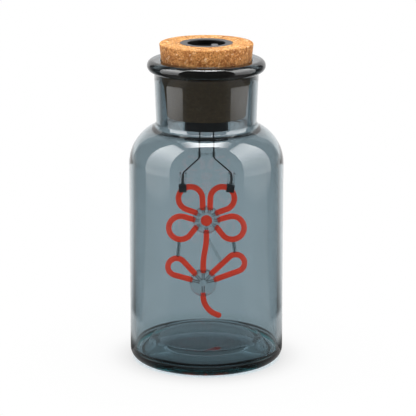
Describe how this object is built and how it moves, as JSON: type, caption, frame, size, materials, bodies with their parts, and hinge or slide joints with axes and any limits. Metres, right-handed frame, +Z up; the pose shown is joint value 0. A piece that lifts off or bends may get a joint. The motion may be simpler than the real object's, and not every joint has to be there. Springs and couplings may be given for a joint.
{
  "type": "cork bottle light",
  "caption": "Smoked glass bottle lamp: a cork stopper holds a rechargeable battery pod, and a red line-drawn flower of glowing silicone tube hangs from it inside the bottle.",
  "frame": {"origin": "centre of the bottle's foot, on the surface it stands on", "axes": "+Z up along the bottle's axis, +X to the right seen from the front, -Y to the front"},
  "size_m": [0.095, 0.095, 0.1982],
  "materials": {
    "smoke_glass": "clear glass tinted smoke grey-blue, polished",
    "cork": "natural agglomerated cork, matte",
    "black_plastic": "moulded black, satin",
    "key_plastic": "moulded black, fine satin",
    "switch_plastic": "moulded black",
    "plated_steel": "bright nickel plate",
    "board_laminate": "green solder mask",
    "chip_resin": "moulded resin",
    "cell_wrap": "plain shrink wrap",
    "lead_insulation": "smooth black",
    "pad_foam": "closed-cell foam",
    "grommet_rubber": "matte",
    "clear_plastic": "clear moulded",
    "clip_plastic": "ribbed black",
    "crimp_metal": "dull tinned",
    "red_silicone": "smooth red silicone over a light filament, semi-matte"
  },
  "bodies": {
    "bottle": {"glass_bottle": "smoke_glass"},
    "button": {"power_button": "key_plastic", "switch_plunger": "switch_plastic"},
    "stopper": {"cork_stopper": "cork", "pod_shell": "black_plastic", "pod_top": "black_plastic", "switch_body": "switch_plastic", "usb_tongue": "switch_plastic", "usb_shell": "plated_steel", "board_screws": "plated_steel", "battery_tabs": "plated_steel", "circuit_board": "board_laminate", "board_chips": "chip_resin", "battery_cell": "cell_wrap", "battery_leads": "lead_insulation", "lead_wire_left": "lead_insulation", "lead_wire_right": "lead_insulation", "foam_pad_lower": "pad_foam", "foam_pad_upper": "pad_foam", "wire_grommets": "grommet_rubber", "wire_spreader": "clear_plastic", "clip_shroud_left": "clear_plastic", "clip_shroud_right": "clear_plastic", "bloom_hub": "clear_plastic", "stem_joint": "clear_plastic", "stem_strut": "clear_plastic", "leaf_brace_left": "clear_plastic", "leaf_brace_right": "clear_plastic", "clip_block_left": "clip_plastic", "clip_block_right": "clip_plastic", "wire_crimps": "crimp_metal", "brace_wires": "crimp_metal", "petal_upper_left": "red_silicone", "petal_upper_right": "red_silicone", "petal_side_left": "red_silicone", "petal_side_right": "red_silicone", "leaf_left": "red_silicone", "leaf_right": "red_silicone", "stem_upper": "red_silicone", "stem_lower": "red_silicone", "bloom_centre": "red_silicone"}
  },
  "joints": [
    {"name": "stopper_lift", "type": "slide", "parent": "bottle", "child": "stopper", "axis": [0, 0, 1], "range_m": [0, 0.17]},
    {"name": "button_press", "type": "slide", "parent": "stopper", "child": "button", "axis": [0, 0, -1], "range_m": [0, 0.0005], "stiffness_N_per_m": 300, "springref_m": -0.001}
  ]
}
